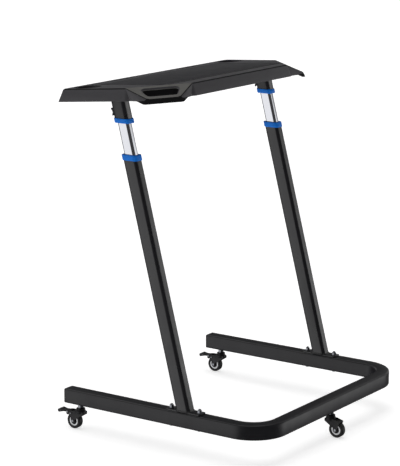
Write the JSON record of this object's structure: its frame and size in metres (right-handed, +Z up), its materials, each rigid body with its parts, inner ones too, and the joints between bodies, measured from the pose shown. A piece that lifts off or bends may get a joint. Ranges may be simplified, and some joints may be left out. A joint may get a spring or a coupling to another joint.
{
  "type": "rolling bike trainer desk",
  "caption": "Height-adjustable standing tray on leaning telescopic legs and an open U base with swivel castors, rolled in over an indoor cycle trainer.",
  "frame": {"origin": "floor level, under the middle of the desk's bounding box", "axes": "+Z up; +Y towards the rider and the open end of the base; +X towards the rider's left"},
  "size_m": [0.8992, 0.8026, 1.0983],
  "materials": {
    "frame_black": "satin black powder coat",
    "tube_chrome": "polished chrome plate",
    "collar_blue": "moulded blue nylon",
    "tray_plastic": "fine-grained dark grey moulding",
    "mat_rubber": "matt non-slip sheet",
    "nylon_black": "moulded black nylon",
    "tyre_black": "matt soft tread",
    "rim_grey": "light grey moulding",
    "zinc": "bright zinc plate"
  },
  "bodies": {
    "base": {"base_frame": "frame_black", "end_cap_right": "nylon_black", "lower_leg_right": "frame_black", "lower_collar_right": "collar_blue", "lock_screw_right": "nylon_black", "foot_bolt_right_front": "zinc", "foot_bolt_right_rear": "zinc", "foot_nut_right_front": "zinc", "foot_nut_right_rear": "zinc", "end_cap_left": "nylon_black", "lower_leg_left": "frame_black", "lower_collar_left": "collar_blue", "lock_screw_left": "nylon_black", "foot_bolt_left_front": "zinc", "foot_bolt_left_rear": "zinc", "foot_nut_left_front": "zinc", "foot_nut_left_rear": "zinc", "castor_stem_rear_right": "zinc", "castor_race_rear_right": "zinc", "castor_stem_rear_left": "zinc", "castor_race_rear_left": "zinc", "castor_stem_front": "zinc", "castor_race_front": "zinc"},
    "top": {"tray": "tray_plastic", "tray_mat": "mat_rubber", "cross_member": "frame_black", "inner_tube_right": "tube_chrome", "guide_shoe_right": "nylon_black", "upper_collar_right": "collar_blue", "upper_sleeve_right": "frame_black", "tray_screw_right_front": "zinc", "tray_screw_right_rear": "zinc", "inner_tube_left": "tube_chrome", "guide_shoe_left": "nylon_black", "upper_collar_left": "collar_blue", "upper_sleeve_left": "frame_black", "tray_screw_left_front": "zinc", "tray_screw_left_rear": "zinc"},
    "wing_screw_right": {"wing_screw_right": "nylon_black"},
    "wing_screw_left": {"wing_screw_left": "nylon_black"},
    "castor_rear_right": {"castor_fork_rear_right": "nylon_black", "castor_axle_rear_right": "zinc", "brake_pin_rear_right": "zinc"},
    "wheel_rear_right": {"castor_tyre_rear_right": "tyre_black", "castor_rim_rear_right": "rim_grey"},
    "brake_rear_right": {"brake_pedal_rear_right": "nylon_black"},
    "castor_rear_left": {"castor_fork_rear_left": "nylon_black", "castor_axle_rear_left": "zinc", "brake_pin_rear_left": "zinc"},
    "wheel_rear_left": {"castor_tyre_rear_left": "tyre_black", "castor_rim_rear_left": "rim_grey"},
    "brake_rear_left": {"brake_pedal_rear_left": "nylon_black"},
    "castor_front": {"castor_fork_front": "nylon_black", "castor_axle_front": "zinc"},
    "wheel_front": {"castor_tyre_front": "tyre_black", "castor_rim_front": "rim_grey"}
  },
  "joints": [
    {"name": "height_slide", "type": "slide", "parent": "base", "child": "top", "axis": [0, 0.2504, 0.9681], "range_m": [-0.09, 0.17]},
    {"name": "wing_screw_right_turn", "type": "hinge", "parent": "top", "child": "wing_screw_right", "pos_m": [-0.3865, 0.15174, 1.019], "axis": [0, 0.9681, -0.2504], "continuous": true},
    {"name": "wing_screw_left_turn", "type": "hinge", "parent": "top", "child": "wing_screw_left", "pos_m": [0.3865, 0.15174, 1.019], "axis": [0, 0.9681, -0.2504], "continuous": true},
    {"name": "swivel_rear_right", "type": "hinge", "parent": "base", "child": "castor_rear_right", "pos_m": [-0.3865, 0.32031, 0.061], "axis": [0, 0, 1], "continuous": true},
    {"name": "wheel_rear_right_spin", "type": "hinge", "parent": "castor_rear_right", "child": "wheel_rear_right", "pos_m": [-0.3865, 0.34331, 0.025], "axis": [1, 0, 0], "continuous": true},
    {"name": "brake_rear_right_press", "type": "hinge", "parent": "castor_rear_right", "child": "brake_rear_right", "pos_m": [-0.3865, 0.36431, 0.052], "axis": [1, 0, 0], "range_deg": [-15, 0]},
    {"name": "swivel_rear_left", "type": "hinge", "parent": "base", "child": "castor_rear_left", "pos_m": [0.3865, 0.32031, 0.061], "axis": [0, 0, 1], "continuous": true},
    {"name": "wheel_rear_left_spin", "type": "hinge", "parent": "castor_rear_left", "child": "wheel_rear_left", "pos_m": [0.3865, 0.34331, 0.025], "axis": [1, 0, 0], "continuous": true},
    {"name": "brake_rear_left_press", "type": "hinge", "parent": "castor_rear_left", "child": "brake_rear_left", "pos_m": [0.3865, 0.36431, 0.052], "axis": [1, 0, 0], "range_deg": [-15, 0]},
    {"name": "swivel_front", "type": "hinge", "parent": "base", "child": "castor_front", "pos_m": [0, -0.35119, 0.061], "axis": [0, 0, 1], "continuous": true},
    {"name": "wheel_front_spin", "type": "hinge", "parent": "castor_front", "child": "wheel_front", "pos_m": [0, -0.37419, 0.025], "axis": [1, 0, 0], "continuous": true}
  ]
}
